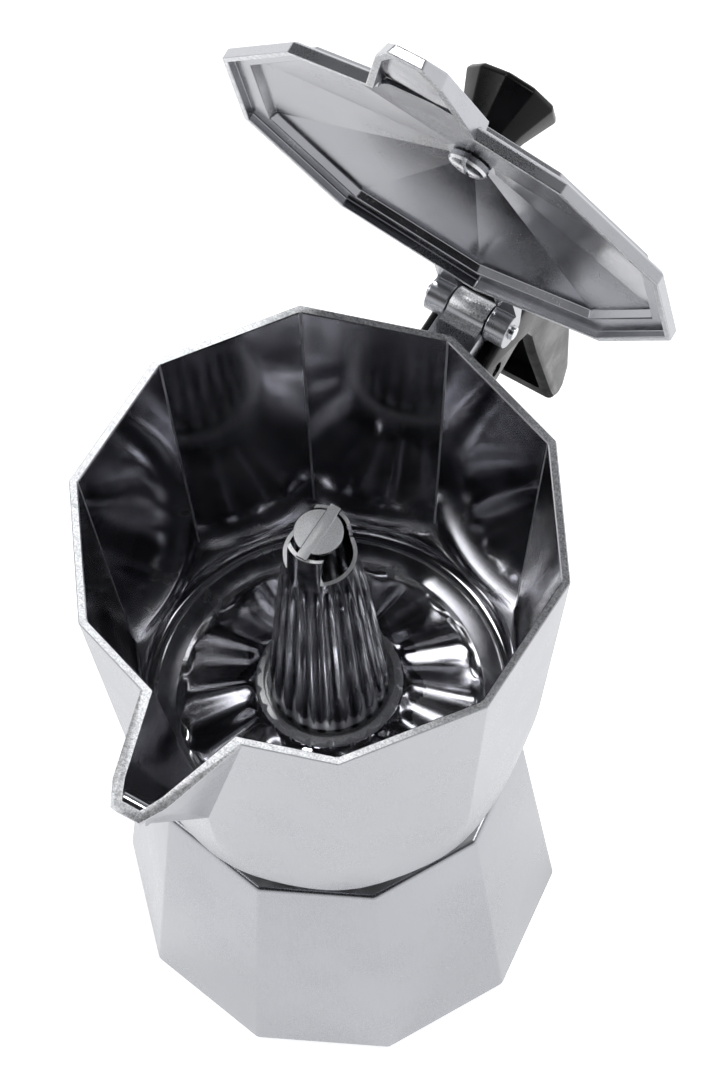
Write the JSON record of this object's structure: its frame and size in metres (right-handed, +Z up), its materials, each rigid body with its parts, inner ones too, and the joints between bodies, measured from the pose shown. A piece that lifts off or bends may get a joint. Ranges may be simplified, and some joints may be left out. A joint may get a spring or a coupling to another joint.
{
  "type": "moka pot",
  "caption": "Faceted stove-top coffee pot with boiler, funnel, filter and gasket, screwed collector with V spout, hinged lid, black knob and handle, and safety valve.",
  "frame": {"origin": "centre of the boiler's flat underside, on the pot's upright axis", "axes": "+Z up along the boiler, column and collector; +X towards the handle and the lid hinge; the spout points to -X"},
  "size_m": [0.1674, 0.105, 0.3082],
  "materials": {
    "cast_aluminium": "bright satin",
    "polished_aluminium": "polished",
    "bakelite": "semi-gloss moulded",
    "rubber": "matt",
    "brass": "turned",
    "steel": "bright"
  },
  "bodies": {
    "boiler_body": {"boiler": "cast_aluminium", "valve_body": "brass", "valve_spring": "steel", "valve_retainer": "brass"},
    "valve_stem": {"valve_poppet": "brass"},
    "funnel_body": {"funnel_cup": "cast_aluminium", "funnel_tube": "cast_aluminium", "funnel_sieve": "cast_aluminium"},
    "seal_body": {"gasket": "rubber", "filter_plate": "cast_aluminium"},
    "collector_body": {"collector": "cast_aluminium", "column": "polished_aluminium", "column_collar": "polished_aluminium", "column_cap": "polished_aluminium", "hinge_pin": "steel", "handle": "bakelite", "handle_pin": "steel"},
    "lid_body": {"lid": "cast_aluminium", "knob": "bakelite", "knob_screw": "steel"}
  },
  "joints": [
    {"name": "chamber_lift", "type": "slide", "parent": "boiler_body", "child": "seal_body", "axis": [0, 0, 1], "range_m": [0, 0.15]},
    {"name": "unscrew", "type": "hinge", "parent": "seal_body", "child": "collector_body", "pos_m": [0, 0, 0.0823], "axis": [0, 0, 1], "range_deg": [0, 900]},
    {"name": "lid_hinge", "type": "hinge", "parent": "collector_body", "child": "lid_body", "pos_m": [0.063, 0, 0.1685], "axis": [0, 1, 0], "range_deg": [-80, 25]},
    {"name": "funnel_lift", "type": "slide", "parent": "boiler_body", "child": "funnel_body", "axis": [0, 0, 1], "range_m": [0, 0.075]},
    {"name": "valve_pop", "type": "slide", "parent": "boiler_body", "child": "valve_stem", "axis": [0.4637, 0.8814, 0.0904], "range_m": [0, 0.0012], "stiffness_N_per_m": 1500, "springref_m": -0.001}
  ],
  "couplings": [
    {"joint": "funnel_lift", "follows": "chamber_lift", "ratio": 0.5}
  ]
}
